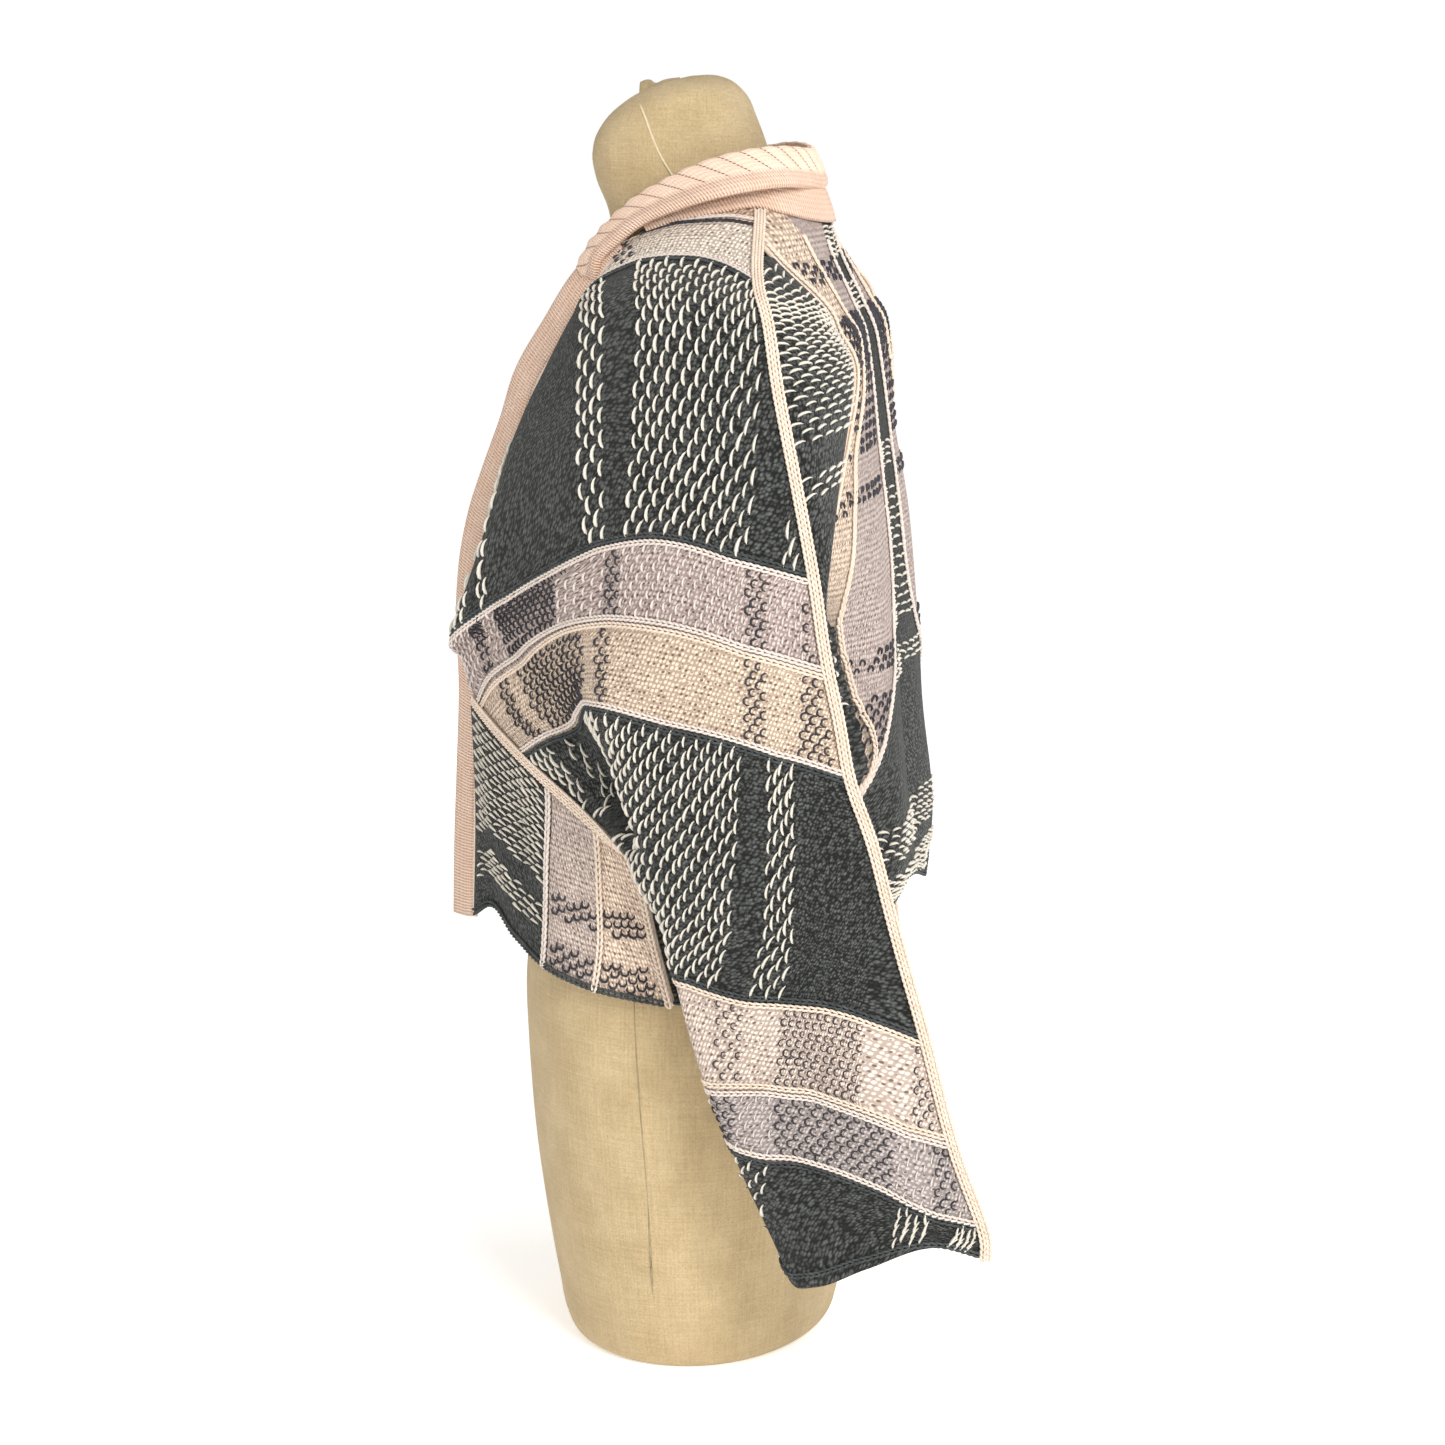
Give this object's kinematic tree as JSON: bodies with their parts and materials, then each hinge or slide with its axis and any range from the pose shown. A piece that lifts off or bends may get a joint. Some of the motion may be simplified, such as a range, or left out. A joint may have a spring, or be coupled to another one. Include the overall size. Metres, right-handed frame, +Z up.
{
  "type": "cardigan on a dress form",
  "caption": "Cropped open knit cardigan with batwing sleeves, a rolled rib shawl collar and raised seams, worn by a limbless cloth-covered dress form.",
  "frame": {"origin": "centre of the dress form's flat underside, which stands on the surface below", "axes": "+Z up; -Y towards the wearer's front; +X towards the wearer's left"},
  "size_m": [0.468, 0.3884, 0.8328],
  "materials": {
    "tan_linen": "coarse woven linen, matt",
    "plaid_knit_left": "soft plaid knit, brushed",
    "pink_rib_left": "fine rib knit, brushed",
    "pink_seam_left": "raised chain of knit",
    "plaid_knit_right": "soft plaid knit, brushed",
    "pink_rib_right": "fine rib knit, brushed",
    "pink_seam_right": "raised chain of knit",
    "plaid_knit_back": "soft plaid knit, brushed",
    "pink_rib_collar": "rib knit, brushed"
  },
  "bodies": {
    "root": {"dress_form": "tan_linen", "neck_tab": "tan_linen", "front_upper_left": "plaid_knit_left", "sleeve_back_left": "plaid_knit_left", "front_lower_left": "plaid_knit_left", "front_band_left": "pink_rib_left", "overarm_seam_left": "pink_seam_left", "front_seam_left": "pink_seam_left", "back_seam_left": "pink_seam_left", "underarm_seam_left": "pink_seam_left", "side_seam_left": "pink_seam_left", "front_upper_right": "plaid_knit_right", "sleeve_back_right": "plaid_knit_right", "front_lower_right": "plaid_knit_right", "front_band_right": "pink_rib_right", "overarm_seam_right": "pink_seam_right", "front_seam_right": "pink_seam_right", "back_seam_right": "pink_seam_right", "underarm_seam_right": "pink_seam_right", "side_seam_right": "pink_seam_right", "back": "plaid_knit_back", "collar": "pink_rib_collar", "collar_stand": "pink_rib_collar"}
  },
  "joints": []
}
